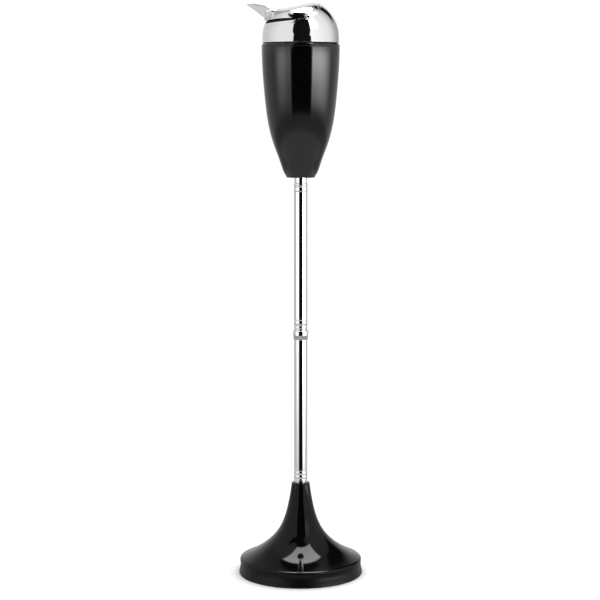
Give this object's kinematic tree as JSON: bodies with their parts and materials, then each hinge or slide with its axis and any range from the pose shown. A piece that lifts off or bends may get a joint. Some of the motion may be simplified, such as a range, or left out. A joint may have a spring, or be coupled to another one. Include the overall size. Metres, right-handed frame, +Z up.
{
  "type": "ashtray bin",
  "caption": "Free-standing ashtray bin: black egg-shaped bin on a chrome tube stand with a weighted trumpet foot, under a chrome head with a hinged flip lid",
  "frame": {"origin": "middle of the foot on the floor", "axes": "+Z up along the stand, -X towards the thumb tab of the lid, Y along the lid's pivot axis"},
  "size_m": [0.149, 0.149, 0.6813],
  "materials": {
    "gloss_black": "gloss black baked enamel on pressed steel",
    "gloss_black_bin": "gloss black baked enamel on spun steel",
    "chrome_tube": "bright chrome plate",
    "chrome_trim": "bright chrome plate",
    "chrome_head": "mirror chrome plate",
    "chrome_lid": "mirror chrome plate on a casting",
    "zinc_steel": "zinc plated",
    "steel_rivet": "turned",
    "galvanised": "galvanised sheet",
    "cast_iron": "as cast, dark",
    "black_rubber": "matt",
    "black_plastic": "moulded, satin",
    "pale_nylon": "turned"
  },
  "bodies": {
    "stand": {"base_shell": "gloss_black", "base_plate": "zinc_steel", "foot_ring": "black_rubber", "base_weight": "cast_iron", "base_washer": "zinc_steel", "base_bolt": "zinc_steel", "spacer_tube": "zinc_steel", "neck_disc": "zinc_steel", "base_ferrule": "chrome_trim", "lower_tube": "chrome_tube", "lower_tube_bottom_plug": "zinc_steel", "lower_tube_top_plug": "zinc_steel", "joint_collar": "chrome_trim", "joint_stud": "zinc_steel", "upper_tube": "chrome_tube", "upper_tube_bottom_plug": "zinc_steel", "upper_tube_top_plug": "zinc_steel", "top_ferrule": "chrome_trim", "bin_body": "gloss_black_bin", "bin_washer": "zinc_steel", "bin_bolt": "zinc_steel", "rest_ring": "zinc_steel"},
    "head": {"dome": "chrome_head", "head_seal": "black_rubber", "spigot_ring": "black_plastic", "mouth_seal": "black_rubber", "pivot_rivets": "steel_rivet", "pivot_washers": "pale_nylon"},
    "lid": {"lid": "chrome_lid"},
    "bucket": {"ash_bucket": "galvanised"}
  },
  "joints": [
    {"name": "head_lift", "type": "slide", "parent": "stand", "child": "head", "axis": [0, 0, 1], "range_m": [0, 0.3]},
    {"name": "bucket_lift", "type": "slide", "parent": "stand", "child": "bucket", "axis": [0, 0, 1], "range_m": [0, 0.15]},
    {"name": "lid_hinge", "type": "hinge", "parent": "head", "child": "lid", "pos_m": [0.0083, 0, 0.6619], "axis": [0, 1, 0], "range_deg": [0, 60]}
  ],
  "couplings": [
    {"joint": "bucket_lift", "follows": "head_lift", "ratio": 0.5}
  ]
}
